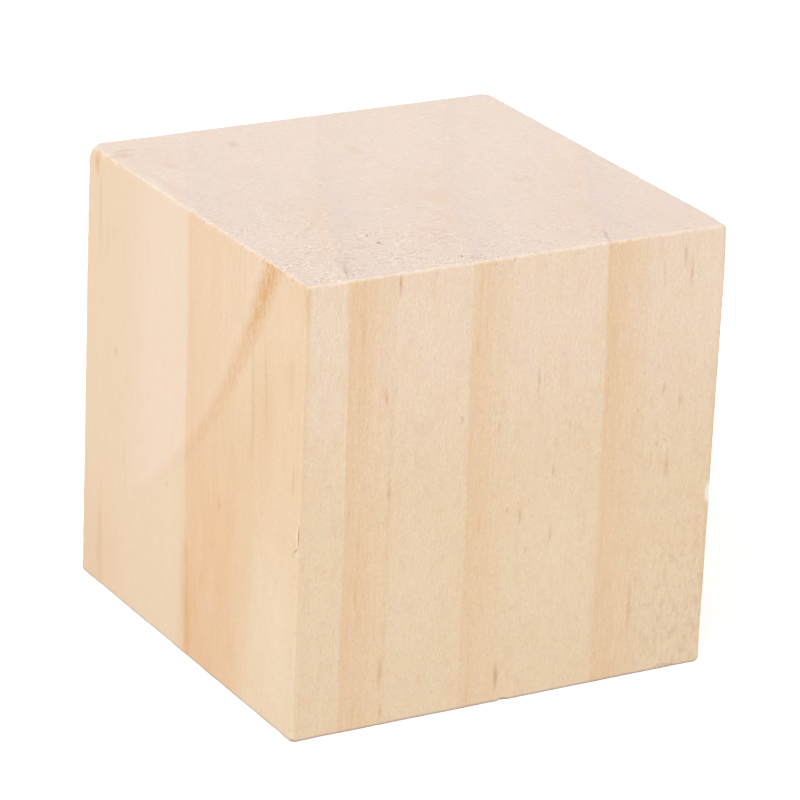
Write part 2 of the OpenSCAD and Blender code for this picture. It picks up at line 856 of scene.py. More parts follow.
    def glaze(self, share: Socket, factor: Colour, colour: Socket) -> Socket:
        """Multiply a colour by a factor as far as a share goes."""
        return self.vector_math("MULTIPLY", colour, self.blend(share, self.WHITE, factor))

    def attribute(self, name: str) -> Socket:
        """Read a value that the mesh carries at its points.

        Args:
            name: Name of the value.

        Returns:
            The value.
        """
        node = self.add("ShaderNodeAttribute")
        node.attribute_name = name
        return node.outputs["Fac"]

    def seen(self) -> Socket:
        """Tell the rays that show the surface as a background from those that light things.

        Returns:
            1 for rays of the camera, of reflections and of clear materials, else 0.
        """
        rays = self.add("ShaderNodeLightPath").outputs
        seen = self.math("ADD", rays["Is Camera Ray"], rays["Is Glossy Ray"])
        return self.math("ADD", seen, rays["Is Transmission Ray"], clamp=True)

    def finish(self, kind: str, surface: Socket) -> None:
        """Add an output node of one kind and give it the finished surface."""
        output = self.add(kind)
        self.tree.links.new(surface, output.inputs["Surface"])


class WoodSketch(NodeSketch):
    """A node helper that knows the place in the block.

    Attributes:
        normal: Direction of the surface.
        place: Place in metres.
        millimetres: Place in millimetres.
        x: Place along X in millimetres.
        y: Place along Y in millimetres.
        z: Height in millimetres.
    """

    ON_FACE = (24.2, 24.7)

    def __init__(self, wood: bpy.types.Material) -> None:
        """Read the place and the direction.

        Args:
            wood: Material that takes the nodes.
        """
        super().__init__(wood)
        coordinates = self.add("ShaderNodeTexCoord")
        self.normal = coordinates.outputs["Normal"]
        self.place = coordinates.outputs["Object"]
        self.millimetres = self.vector_math("MULTIPLY", self.place, (1 / MM, 1 / MM, 1 / MM))
        self.x, self.y, self.z = self.split(self.millimetres)

    def on_left(self) -> Socket:
        """Tell the points of the left face, which are 1, from all others."""
        return self.fade(self.x, -self.ON_FACE[0], -self.ON_FACE[1])

    def on_hidden(self) -> Socket:
        """Tell the points of the right face and the back, which are 1, from all others."""
        return self.fade(self.math("MAXIMUM", self.x, self.y), *self.ON_FACE)

    def texture(self, density: Triple, detail: float, at: Socket | None) -> bpy.types.Node:
        """Add a noise texture that can be finer along one axis than along another.

        Args:
            density: Waves in a millimetre along X, Y and Z.
            detail: Number of finer layers.
            at: Place in millimetres that it is read at, the block's own if there is none.

        Returns:
            The node.
        """
        place = self.millimetres if at is None else at
        node = self.add("ShaderNodeTexNoise")
        self.feed(node.inputs["Vector"], self.vector_math("MULTIPLY", place, density))
        node.inputs["Scale"].default_value = 1.0
        node.inputs["Detail"].default_value = detail
        return node

    def noise(self, density: Triple, detail: float = 1.0, at: Socket | None = None) -> Socket:
        """Add a noise texture and read its value, about 0 to 1 with a mean of 0.5."""
        return self.texture(density, detail, at).outputs["Fac"]

    def noise_colour(
        self, density: Triple, detail: float = 1.0, at: Socket | None = None
    ) -> Socket:
        """Add a noise texture and read its three channels, each with a mean of 0.5."""
        return self.texture(density, detail, at).outputs["Color"]

    def shaken(self, density: Triple, reach: Triple) -> Socket:
        """Let a noise move the place, so that marks get uneven outlines.

        Args:
            density: Waves in a millimetre along X, Y and Z.
            reach: Full widths of the movement along X, Y and Z, in millimetres.

        Returns:
            The moved place in metres.
        """
        centred = self.vector_math("SUBTRACT", self.noise_colour(density), self.MEANS)
        in_metres = tuple(width * MM for width in reach)
        return self.vector_math(
            "ADD", self.place, self.vector_math("MULTIPLY", centred, in_metres)
        )

    def stroke(self, place: Socket, mark: Stroke, side: float) -> Socket:
        """Draw one stroke as a soft long spot.

        Args:
            place: Place in metres.
            mark: The stroke.
            side: Side of the block in metres.

        Returns:
            The stroke's share, highest at its middle.
        """
        face = mark.side
        axes = Matrix((face.across, face.down, -face.outward)).transposed()
        turned = axes @ Matrix.Rotation(math.radians(mark.lean), 3, "Z")
        local = self.add("ShaderNodeMapping")
        local.vector_type = "TEXTURE"
        self.feed(local.inputs["Vector"], place)
        local.inputs["Location"].default_value = face.point(side, mark.across, mark.down)
        local.inputs["Rotation"].default_value = turned.to_euler()
        local.inputs["Scale"].default_value = mark.half_sizes
        node = self.add("ShaderNodeTexGradient")
        node.gradient_type = "SPHERICAL"
        self.feed(node.inputs["Vector"], local.outputs[0])
        return self.times(node.outputs["Fac"], mark.strength)


@dataclass(frozen=True)
class YearRing:
    """One year's ring, in millimetres.

    Attributes:
        end: Radius at which its dark wood ends.
        fading: Width over which the dark wood fades out towards the heart of the tree.
        peak: How dark it gets, 0 to 1.
    """

    end: float
    fading: float
    peak: float


@dataclass(frozen=True)
class GrowthRings:
    """The growth rings that run through the block, in millimetres.

    Attributes:
        pith: Place of the heart of the tree in plan, far off the block.
        years: The rings that cross the block.
        tilt: Growth of the radius read at a place for each millimetre below the top.
        drift: Full width of the slow wandering of the rings.
        shiver: Full width of their fine unevenness.
        reach: Smallest and largest radius that the block needs.
    """

    ONSET = ((0.12, 0.34), (0.42, 0.42), (0.6, 0.66))

    pith: tuple[float, float] = (233.7, -114.0)
    years: tuple[YearRing, ...] = (
        YearRing(240.3, 5.2, 0.95),
        YearRing(255.4, 4.6, 0.82),
        YearRing(269.0, 5.6, 0.95),
        YearRing(283.1, 10.5, 0.72),
    )
    tilt: float = 0.013
    drift: float = 0.9
    shiver: float = 0.3
    reach: tuple[float, float] = (222.0, 300.0)

    def share(self, radius: float) -> float:
        """Give the place of a radius between the smallest, 0, and the largest, 1."""
        low, high = self.reach
        return (radius - low) / (high - low)

    def stops(self) -> Stops:
        """List how dark the wood is along the radius.

        Each year's dark wood comes in slowly, is darkest at its end and stops sharply there.

        Returns:
            Places from 0 to 1 and how dark the wood is there.
        """
        stops = [(0.0, 0.05)]
        for year in self.years:
            start = year.end - year.fading
            stops.append((self.share(start), 0.08))
            for way, part in self.ONSET:
                stops.append((self.share(start + year.fading * way), year.peak * part))
            stops.append((self.share(year.end - 0.3), year.peak * 0.95))
            stops.append((self.share(year.end - 0.04), min(year.peak + 0.15, 1)))
            stops.append((self.share(year.end + 0.08), 0.04))
        stops.append((1.0, 0.2))
        return stops

    def warm_stops(self) -> Stops:
        """List how warm the end grain looks along the radius.

        Returns:
            Places from 0 to 1 and the share of the warm colour there.
        """
        stops = [(0.0, 0.0)]
        for year in self.years:
            for beyond, share in ((0.0, 0.0), (0.1, 1.0), (8.0, 0.1)):
                stops.append((self.share(year.end + beyond), share))
        stops.append((1.0, 0.0))
        return stops


@dataclass(frozen=True)
class ResinStreak:
    """The slanting resin streak of the left face.

    It starts at the upper edge near the front and runs down towards the back.

    Attributes:
        start: Its place from the left edge at the upper edge, in shares of the side.
        slope: Its slope at the upper edge.
        bend: Change of the slope towards its foot.
        ragged: Full width by which its outline strays, in millimetres.
        half_widths: Half its width at the upper edge and further down, in millimetres.
        fading: Places from the upper edge, 0 to 1, and its strength there.
    """

    start: float = 0.86
    slope: float = -0.5
    bend: float = -0.65
    ragged: float = 1.6
    half_widths: tuple[float, float] = (2.8, 2.1)
    fading: Stops = (
        (0.0, 1.0),
        (0.12, 0.95),
        (0.2, 0.6),
        (0.35, 0.45),
        (0.5, 0.36),
        (0.6, 0.2),
        (0.74, 0.0),
    )


@dataclass(frozen=True)
class SoftwoodTones:
    """The colours of the wood as they look in plain light, the painted highlight and painted shade
    of the arrises, the hollows and the top, and two faint glazes over them.

    Attributes:
        pale_high: Pale wood high on the sides.
        pale_low: Pale wood low on the sides.
        dark: Dark wood of the rings.
        brown_shade: Browner wood beside the resin streak.
        blot: Soft blots of the sides.
        resin: Resin streak.
        end_pale: Pale wood of the end grain, partly a painted highlight: it is paler than the
            sides to stand in for the stronger light on the top.
        end_dark: Dark rings of the end grain.
        end_warm: Warm wood beside those rings.
        light: Lighter wood of rubbed spots, strands and specks; along the arrises it is also a
            painted highlight.
        fresh: Fresh wood in the chip.
        tan_shade: Tan painted shade that darkens the light caught by the rounding of an arris.
        shade: Painted shade that damps the light caught by the rounding of an arris.
        contact_shade: Painted shade along the bottom arrises, where the block meets the floor.
        hollow: Painted shade at the bottom of the hollows.
        foot_glaze: Factor that cools the foot of the sides.
        rosy_glaze: Factor that warms the back of the left face.
    """

    pale_high: Colour = tint(236, 213, 189)
    pale_low: Colour = tint(232, 208, 177)
    dark: Colour = tint(230, 197, 160)
    brown_shade: Colour = tint(226, 184, 138)
    blot: Colour = tint(224, 190, 156)
    resin: Colour = tint(215, 163, 102)
    end_pale: Colour = tint(242, 223, 208)
    end_dark: Colour = tint(229, 211, 200)
    end_warm: Colour = tint(239, 211, 190)
    light: Colour = tint(252, 236, 214)
    fresh: Colour = tint(251, 239, 219)
    tan_shade: Colour = tint(226, 182, 136)
    shade: Colour = tint(216, 188, 156)
    contact_shade: Colour = tint(178, 160, 148)
    hollow: Colour = tint(172, 138, 96)
    foot_glaze: Colour = (0.975, 0.99, 1.01, 1.0)
    rosy_glaze: Colour = (1.004, 0.991, 0.993, 1.0)


@dataclass(frozen=True)
class ArrisTone:
    """The colour given to one arris, which is painted shade on some arrises and rubbed wood with a
    painted highlight on others.

    Attributes:
        towards: Outward direction of the arris along x, y and z, each -1, 0 or 1.
        colour: Colour of the arris.
        strength: Share of the colour, 0 to 1.
        patchy: Whether the colour comes and goes along the arris.
        reach: Greatest depth of the colour into a face, in millimetres.
        width: Distance from the arris where the colour ends, in millimetres.
    """

    towards: tuple[int, int, int]
    colour: Colour
    strength: float
    patchy: bool = False
    reach: float = 1.5
    width: float = 0.4


# Painted shade on the near and back left upright arrises and along the bottom arrises, and rubbed
# wood with a painted highlight along the front right upright arris and the top arrises.
ARRIS_TONES = (
    # Painted shade that damps the light caught by the rounding of the near upright arris.
    ArrisTone((-1, -1, 0), SoftwoodTones.shade, 0.09, width=0.2),
    # Rubbed wood with a painted highlight along the front right upright arris.
    ArrisTone((1, -1, 0), SoftwoodTones.light, 0.05, True),
    # Tan painted shade over the rounding of the back left upright arris, which catches light.
    ArrisTone((-1, 1, 0), SoftwoodTones.tan_shade, 0.3),
    # Rubbed wood with a painted highlight along the top arrises.
    ArrisTone((-1, 0, 1), SoftwoodTones.light, 0.17, True),
    ArrisTone((0, -1, 1), SoftwoodTones.light, 0.3, True),
    ArrisTone((0, 1, 1), SoftwoodTones.light, 0.15, True),
    ArrisTone((1, 0, 1), SoftwoodTones.light, 0.15, True),
    # Painted shade along the bottom arrises where the block meets the floor.
    ArrisTone((0, 0, -1), SoftwoodTones.contact_shade, 0.8, reach=0.6),
)

FRONT_STROKES = (
    Stroke(Side.FRONT, Tone.DARK, 0.001, 0.014, 0.7, 1.3, 0.22),
    Stroke(Side.FRONT, Tone.RUST, 0.002, 0.022, 0.8, 2.4, 0.4),
    Stroke(Side.FRONT, Tone.BROWN, 0.003, 0.050, 0.8, 4.6, 0.15),
    Stroke(Side.FRONT, Tone.PALE, 0.729, 0.090, 1.8, 11.0, 0.13),
    Stroke(Side.FRONT, Tone.PALE, 0.970, 0.150, 5.0, 22.0, 0.12),
    Stroke(Side.FRONT, Tone.RUST, 0.992, 0.740, 1.4, 26.0, 0.12),
    Stroke(Side.FRONT, Tone.RUST, 0.994, 0.500, 1.0, 60.0, 0.12),
    Stroke(Side.FRONT, Tone.PALE, 0.620, 0.680, 16.0, 22.0, 0.13),
    Stroke(Side.FRONT, Tone.PALE, 0.280, 0.680, 10.0, 20.0, 0.08),
    Stroke(Side.FRONT, Tone.DARK, 0.438, 0.007, 0.34, 0.6, 0.4),
    Stroke(Side.FRONT, Tone.DARK, 0.482, 0.006, 0.3, 0.6, 0.5),
    Stroke(Side.FRONT, Tone.PALE, 0.0995, 0.240, 0.35, 48.0, 0.35, -0.75),
    Stroke(Side.FRONT, Tone.BROWN, 0.209, 0.560, 0.5, 62.0, 0.1),
    Stroke(Side.FRONT, Tone.BROWN, 0.215, 0.023, 0.55, 3.4, 0.55),
    Stroke(Side.FRONT, Tone.RUST, 0.135, 0.115, 0.7, 6.0, 0.35),
    Stroke(Side.FRONT, Tone.BROWN, 0.193, 0.263, 0.5, 2.6, 0.42),
    Stroke(Side.FRONT, Tone.BROWN, 0.207, 0.474, 0.55, 3.2, 0.3),
    Stroke(Side.FRONT, Tone.BROWN, 0.555, 0.282, 0.5, 4.4, 0.42),
    Stroke(Side.FRONT, Tone.PALE, 0.562, 0.270, 0.25, 2.5, 0.5),
    Stroke(Side.FRONT, Tone.PALE, 0.555, 0.292, 0.2, 0.6, 0.8),
    Stroke(Side.FRONT, Tone.BROWN, 0.375, 0.340, 0.5, 1.0, 0.45),
    Stroke(Side.FRONT, Tone.RUST, 0.463, 0.374, 0.6, 2.2, 0.2),
    Stroke(Side.FRONT, Tone.BROWN, 0.463, 0.370, 0.4, 1.4, 0.15),
    Stroke(Side.FRONT, Tone.BROWN, 0.601, 0.489, 0.5, 2.0, 0.35),
    Stroke(Side.FRONT, Tone.BROWN, 0.494, 0.566, 0.5, 1.1, 0.45),
    Stroke(Side.FRONT, Tone.BROWN, 0.525, 0.583, 0.6, 2.4, 0.45),
    Stroke(Side.FRONT, Tone.RUST, 0.426, 0.581, 0.6, 3.5, 0.5),
    Stroke(Side.FRONT, Tone.BROWN, 0.604, 0.634, 0.5, 2.6, 0.36),
    Stroke(Side.FRONT, Tone.BROWN, 0.543, 0.660, 0.4, 1.0, 0.3),
    Stroke(Side.FRONT, Tone.DARK, 0.637, 0.390, 0.4, 1.2, 0.2),
    Stroke(Side.FRONT, Tone.RUST, 0.849, 0.084, 0.5, 4.0, 0.4),
    Stroke(Side.FRONT, Tone.BROWN, 0.899, 0.052, 0.42, 3.6, 0.4, -3),
    Stroke(Side.FRONT, Tone.BROWN, 0.917, 0.094, 0.38, 3.7, 0.36),
    Stroke(Side.FRONT, Tone.BROWN, 0.865, 0.347, 0.5, 2.0, 0.4),
    Stroke(Side.FRONT, Tone.BROWN, 0.907, 0.378, 0.5, 3.2, 0.3),
    Stroke(Side.FRONT, Tone.BROWN, 0.884, 0.499, 0.6, 2.4, 0.16),
    Stroke(Side.FRONT, Tone.RUST, 0.884, 0.528, 0.8, 3.2, 0.3),
    Stroke(Side.FRONT, Tone.BROWN, 0.885, 0.527, 0.45, 2.2, 0.26),
    Stroke(Side.FRONT, Tone.BROWN, 0.857, 0.466, 0.42, 1.0, 0.36),
    Stroke(Side.FRONT, Tone.BROWN, 0.875, 0.463, 0.42, 0.9, 0.32, -15),
    Stroke(Side.FRONT, Tone.BROWN, 0.843, 0.505, 0.4, 2.8, 0.22),
    Stroke(Side.FRONT, Tone.PALE, 0.874, 0.480, 0.3, 2.0, 0.4),
    Stroke(Side.FRONT, Tone.RUST, 0.801, 0.712, 0.5, 4.5, 0.3),
    Stroke(Side.FRONT, Tone.RUST, 0.811, 0.838, 0.9, 7.0, 0.3),
    Stroke(Side.FRONT, Tone.BROWN, 0.811, 0.842, 0.65, 6.5, 0.22),
    Stroke(Side.FRONT, Tone.BROWN, 0.202, 0.881, 0.65, 4.8, 0.34),
    Stroke(Side.FRONT, Tone.BROWN, 0.486, 0.943, 0.7, 4.6, 0.5),
    Stroke(Side.FRONT, Tone.BROWN, 0.208, 0.970, 0.55, 2.9, 0.32),
    Stroke(Side.FRONT, Tone.RUST, 0.138, 0.693, 0.6, 4.0, 0.35),
    Stroke(Side.FRONT, Tone.BROWN, 0.138, 0.694, 0.45, 1.9, 0.12),
    Stroke(Side.FRONT, Tone.DARK, 0.908, 0.994, 3.2, 0.5, 0.4),
    Stroke(Side.FRONT, Tone.RUST, 0.975, 0.986, 0.3, 0.3, 0.8),
    Stroke(Side.FRONT, Tone.DARK, 0.950, 0.966, 0.36, 0.8, 0.15, -20),
)

LEFT_STROKES = (
    Stroke(Side.LEFT, Tone.RUST, 0.540, 0.920, 5.5, 14.0, 0.1),
    Stroke(Side.LEFT, Tone.RUST, 0.850, 0.520, 5.5, 12.0, 0.13),
    Stroke(Side.LEFT, Tone.PALE, 0.993, 0.545, 0.5, 3.2, 0.75),
    Stroke(Side.LEFT, Tone.PALE, 0.998, 0.580, 0.6, 1.2, 0.4),
    Stroke(Side.LEFT, Tone.BROWN, 1.000, 0.586, 0.7, 0.9, 0.25),
    Stroke(Side.LEFT, Tone.DARK, 0.990, 0.974, 0.3, 1.2, 0.3, 8),
    Stroke(Side.LEFT, Tone.ROSE, 0.972, 0.960, 1.0, 3.0, 0.5),
    Stroke(Side.LEFT, Tone.DARK, 0.840, 0.250, 0.42, 15.0, 0.24, -5),
    Stroke(Side.LEFT, Tone.BROWN, 0.826, 0.090, 0.4, 5.0, 0.2, -2),
    Stroke(Side.LEFT, Tone.BROWN, 0.785, 0.270, 0.5, 17.0, 0.2, -3.9),
    Stroke(Side.LEFT, Tone.BROWN, 0.786, 0.360, 2.4, 22.0, 0.1),
    Stroke(Side.LEFT, Tone.BROWN, 0.790, 0.390, 1.2, 10.0, 0.1),
    Stroke(Side.LEFT, Tone.RUST, 0.845, 0.330, 6.0, 18.0, 0.3),
    Stroke(Side.LEFT, Tone.BROWN, 0.950, 0.215, 1.6, 9.0, 0.14),
    Stroke(Side.LEFT, Tone.RUST, 0.971, 0.425, 0.8, 6.0, 0.35),
    Stroke(Side.LEFT, Tone.BROWN, 0.969, 0.425, 0.45, 3.9, 0.17),
    Stroke(Side.LEFT, Tone.BROWN, 0.063, 0.130, 1.1, 14.0, 0.16),
    Stroke(Side.LEFT, Tone.RUST, 0.044, 0.026, 1.4, 4.2, 0.75),
    Stroke(Side.LEFT, Tone.BROWN, 0.102, 0.180, 0.9, 6.0, 0.12),
    Stroke(Side.LEFT, Tone.BROWN, 0.074, 0.195, 0.8, 5.0, 0.12),
    Stroke(Side.LEFT, Tone.BROWN, 0.131, 0.170, 0.7, 3.4, 0.12),
    Stroke(Side.LEFT, Tone.DARK, 0.211, 0.465, 0.6, 3.0, 0.07),
    Stroke(Side.LEFT, Tone.DARK, 0.200, 0.650, 0.6, 5.0, 0.11),
    Stroke(Side.LEFT, Tone.DARK, 0.207, 0.710, 0.6, 5.0, 0.09),
    Stroke(Side.LEFT, Tone.RUST, 0.150, 0.427, 1.1, 1.7, 0.5),
    Stroke(Side.LEFT, Tone.BROWN, 0.088, 0.870, 1.2, 15.0, 0.13, -1),
    Stroke(Side.LEFT, Tone.BROWN, 0.086, 0.930, 2.6, 12.0, 0.08, -1),
    Stroke(Side.LEFT, Tone.PALE, 0.930, 0.100, 7.0, 11.0, 0.1),
    Stroke(Side.LEFT, Tone.BROWN, 0.408, 0.642, 0.55, 1.5, 0.32, 55),
    Stroke(Side.LEFT, Tone.RUST, 0.650, 0.600, 1.4, 2.8, 0.45),
    Stroke(Side.LEFT, Tone.BROWN, 0.653, 0.600, 0.6, 1.3, 0.12),
    Stroke(Side.LEFT, Tone.RUST, 0.632, 0.693, 0.4, 2.6, 0.6, 50),
    Stroke(Side.LEFT, Tone.RUST, 0.503, 0.765, 1.6, 5.0, 0.35),
    Stroke(Side.LEFT, Tone.BROWN, 0.505, 0.875, 1.6, 8.0, 0.15),
    Stroke(Side.LEFT, Tone.RUST, 0.512, 0.900, 2.8, 18.0, 0.5, -2),
    Stroke(Side.LEFT, Tone.BROWN, 0.512, 0.965, 2.0, 8.0, 0.1),
    Stroke(Side.LEFT, Tone.RUST, 0.577, 0.805, 1.8, 3.4, 0.28),
    Stroke(Side.LEFT, Tone.RUST, 0.560, 0.890, 5.0, 13.0, 0.17),
    Stroke(Side.LEFT, Tone.RUST, 0.487, 0.840, 1.4, 22.0, 0.25),
    Stroke(Side.LEFT, Tone.PALE, 0.920, 0.780, 7.0, 22.0, 0.12),
)

TOP_STROKES = (
    Stroke(Side.TOP, Tone.DARK, 0.263, 0.769, 0.4, 0.6, 0.85),
    Stroke(Side.TOP, Tone.DARK, 0.264, 0.818, 0.45, 0.9, 0.9, 30),
    Stroke(Side.TOP, Tone.BROWN, 0.265, 0.829, 0.35, 0.6, 0.5, -20),
    Stroke(Side.TOP, Tone.DARK, 0.256, 0.888, 0.45, 0.5, 0.9),
    Stroke(Side.TOP, Tone.DARK, 0.380, 0.957, 0.4, 0.5, 0.8),
    Stroke(Side.TOP, Tone.DARK, 0.904, 0.988, 0.3, 0.4, 0.45),
    Stroke(Side.TOP, Tone.BROWN, 0.205, 0.824, 6.0, 0.3, 0.3),
    Stroke(Side.TOP, Tone.PALE, 0.012, 0.300, 1.8, 9.0, 0.5),
    Stroke(Side.TOP, Tone.ROSE, 0.030, 0.340, 2.6, 7.0, 0.35),
    Stroke(Side.TOP, Tone.PALE, 0.008, 0.480, 1.0, 4.0, 0.4),
    Stroke(Side.TOP, Tone.RUST, 0.034, 0.098, 3.2, 2.8, 0.34),
    Stroke(Side.TOP, Tone.RUST, 0.022, 0.220, 2.4, 12.0, 0.16),
    Stroke(Side.TOP, Tone.PALE, 0.020, 0.200, 2.0, 10.0, 0.3),
    Stroke(Side.TOP, Tone.PALE, 0.080, 0.750, 14.0, 18.0, 0.14),
    Stroke(Side.TOP, Tone.BROWN, 0.049, 0.071, 3.8, 0.5, 0.4),
    Stroke(Side.TOP, Tone.RUST, 0.080, 0.120, 15.0, 15.0, 0.07),
    Stroke(Side.TOP, Tone.RUST, 0.920, 0.900, 15.0, 15.0, 0.07),
    Stroke(Side.TOP, Tone.BROWN, 0.290, 0.120, 1.4, 2.8, 0.25, 20),
    Stroke(Side.TOP, Tone.RUST, 0.095, 0.200, 2.4, 3.4, 0.18),
    Stroke(Side.TOP, Tone.RUST, 0.516, 0.254, 2.4, 3.6, 0.2),
    Stroke(Side.TOP, Tone.RUST, 0.755, 0.575, 3.4, 3.0, 0.17),
    Stroke(Side.TOP, Tone.BROWN, 0.115, 0.950, 0.5, 4.6, 0.4, 22),
    Stroke(Side.TOP, Tone.DARK, 0.136, 0.906, 1.8, 8.0, 0.12, 22),
    Stroke(Side.TOP, Tone.BROWN, 0.396, 0.975, 0.4, 3.0, 0.45, 22),
    Stroke(Side.TOP, Tone.BROWN, 0.725, 0.958, 0.45, 5.0, 0.4, 22),
    Stroke(Side.TOP, Tone.ROSE, 0.010, 0.990, 2.0, 2.0, 0.5),
)


@dataclass
class Softwood:
    """The wood of the block: rings, fibres, marks, end grain and wear.

    Attributes:
        side: Side of the block in metres.
        rings: Growth rings.
        streak: Resin streak of the left face.
        tones: Colours.
        strokes: Marks of the sides.
        end_strokes: Marks of the end grain.
        arris_tones: Colours given to the arrises, painted shade on some and rubbed wood with a
            painted highlight on others.
        relief: Height of the raised grain in millimetres.
        lustre: Strength of the reflection.
    """

    side: float
    rings: GrowthRings = field(default_factory=GrowthRings)
    streak: ResinStreak = field(default_factory=ResinStreak)
    tones: SoftwoodTones = field(default_factory=SoftwoodTones)
    strokes: tuple[Stroke, ...] = FRONT_STROKES + LEFT_STROKES
    end_strokes: tuple[Stroke, ...] = TOP_STROKES
    arris_tones: tuple[ArrisTone, ...] = ARRIS_TONES
    relief: float = 0.03
    lustre: float = 0.3

    def build(self) -> bpy.types.Material:
        """Make the material.

        Returns:
            The material.
        """
        wood = bpy.data.materials.new("softwood_fine")
        sketch = WoodSketch(wood)
        upward = sketch.math("ABSOLUTE", sketch.split(sketch.normal)[2])
        end_share = sketch.fade(upward, 0.6, 0.9)
        ring = self.ring_place(sketch)
        late = sketch.ramp(ring, self.rings.stops())
        warm = sketch.ramp(ring, self.rings.warm_stops())
        side_colour, side_height = self.long_grain(sketch, late)
        # The end grain is painted paler than the sides: its own pinker tone together with painted
        # light standing in for the brighter light on the top.
        end_colour, end_height = self.end_grain(sketch, late, warm)
        colour = self.wear(sketch, sketch.blend(end_share, side_colour, end_colour))
        height = sketch.times(side_height, sketch.rest(end_share))
        height = sketch.math("MULTIPLY_ADD", end_height, end_share, height)
        bump = sketch.add("ShaderNodeBump")
        bump.inputs["Strength"].default_value = 1.0
        bump.inputs["Distance"].default_value = self.relief * MM
        sketch.feed(bump.inputs["Height"], height)
        shader = sketch.add("ShaderNodeBsdfPrincipled")
        sketch.feed(shader.inputs["Base Color"], colour)
        gloss = sketch.noise((1.5, 1.5, 0.3), 2.0)
        sketch.feed(shader.inputs["Roughness"], sketch.fade(gloss, 0.2, 0.8, 0.6, 0.75))
        sketch.feed(shader.inputs["Normal"], bump.outputs["Normal"])
        shader.inputs["Specular IOR Level"].default_value = self.lustre
        sketch.finish("ShaderNodeOutputMaterial", shader.outputs["BSDF"])
        return wood

    def ring_place(self, sketch: WoodSketch) -> Socket:
        """Work out where the growth rings put each point.

        Args:
            sketch: Node helper.

        Returns:
            Place along the radius from 0 to 1.
        """
        from_pith_x = sketch.math("SUBTRACT", sketch.x, self.rings.pith[0])
        from_pith_y = sketch.math("SUBTRACT", sketch.y, self.rings.pith[1])
        square = sketch.times(from_pith_x, from_pith_x)
        radius = sketch.math("SQRT", sketch.math("MULTIPLY_ADD", from_pith_y, from_pith_y, square))
        below = sketch.math("SUBTRACT", self.side / MM, sketch.z)
        radius = sketch.math("MULTIPLY_ADD", below, self.rings.tilt, radius)
        radius = sketch.swing(sketch.noise((0.05, 0.05, 0.03)), self.rings.drift, radius)
        radius = sketch.swing(sketch.noise((3.0, 3.0, 0.4)), self.rings.shiver, radius)
        low, high = self.rings.reach
        return sketch.math("DIVIDE", sketch.math("SUBTRACT", radius, low), high - low)

    def marks(
        self, sketch: WoodSketch, place: Socket, strokes: tuple[Stroke, ...], colour: Socket
    ) -> Socket:
        """Draw the marks over a colour, one tone after another.

        Args:
            sketch: Node helper.
            place: Place in metres.
            strokes: Marks to draw.
            colour: Colour beneath the marks.

        Returns:
            The marked colour.
        """
        greatest_share = 0.9
        for tone in (Tone.ROSE, Tone.RUST, Tone.BROWN, Tone.DARK, Tone.PALE):
            share = 0.0
            for mark in strokes:
                if mark.tone is tone:
                    share = sketch.math("ADD", sketch.stroke(place, mark, self.side), share)
            if isinstance(share, bpy.types.NodeSocket):
                share = sketch.math("MINIMUM", share, greatest_share)
                colour = sketch.blend(share, colour, tone.value)
        return colour

    def long_grain(self, sketch: WoodSketch, late: Socket) -> tuple[Socket, Socket]:
        """Draw the wood of the four sides.

        Args:
            sketch: Node helper.
            late: Darkness of the growth rings.

        Returns:
            The colour and the height.
        """
        on_left = sketch.on_left()
        left_contrast = sketch.fade(sketch.y, 5.0, -12.0, 0.35, 0.75)
        contrast = sketch.between(on_left, 1.0, left_contrast)
        pale_share = sketch.fade(sketch.z, 45.0, 20.0)
        pale_share, late, figure = self.figure(sketch, on_left, pale_share, late)
        late = self.uneven_rings(sketch, contrast, late)
        pale = sketch.blend(pale_share, self.tones.pale_high, self.tones.pale_low)
        colour = sketch.blend(late, pale, self.tones.dark)
        for share, tone in figure:
            colour = sketch.blend(share, colour, tone)
        foot = sketch.fade(sketch.z, 16.0, 2.0)
        colour = sketch.glaze(foot, self.tones.foot_glaze, colour)
        left_back = sketch.times(on_left, sketch.fade(sketch.y, -12.0, 0.0))
        colour = sketch.glaze(left_back, self.tones.rosy_glaze, colour)
        dashes = sketch.noise((5.0, 5.0, 2.2))
        fibres = sketch.noise((5.0, 5.0, 0.5))
        colour = sketch.lighten(dashes, sketch.times(contrast, 0.25), colour)
        colour = sketch.lighten(fibres, sketch.times(contrast, 0.11), colour)
        hues = sketch.noise_colour((1.7, 1.7, 0.6), 2.0)
        colour = sketch.tinge(hues, (0.05, 0.08, 0.16), colour)
        colour = self.flecks(sketch, contrast, late, colour)
        colour = self.mottle(sketch, colour)
        shaky = sketch.shaken((2.5, 2.5, 0.8), (0.5, 0.5, 1.2))
        colour = self.marks(sketch, shaky, self.strokes, colour)
        return colour, sketch.math("MULTIPLY_ADD", fibres, 0.5, dashes)

    def uneven_rings(self, sketch: WoodSketch, contrast: Socket, late: Socket) -> Socket:
        """Break up the dark wood of the rings with long streaks and wide patches.

        Args:
            sketch: Node helper.
            contrast: Strength of the fine pattern.
            late: Darkness of the growth rings.

        Returns:
            The new darkness.
        """
        streaks = sketch.noise((2.2, 2.2, 0.06), 2.0)
        late = sketch.times(late, sketch.swing(streaks, sketch.times(contrast, 1.4), 1.0))
        late = sketch.swing(streaks, sketch.times(contrast, 0.25), late)
        wide = sketch.noise((0.45, 0.45, 0.09), 2.0)
        late = sketch.times(late, sketch.swing(wide, 1.1, 1.0))
        return sketch.math("ADD", late, 0.02, clamp=True)

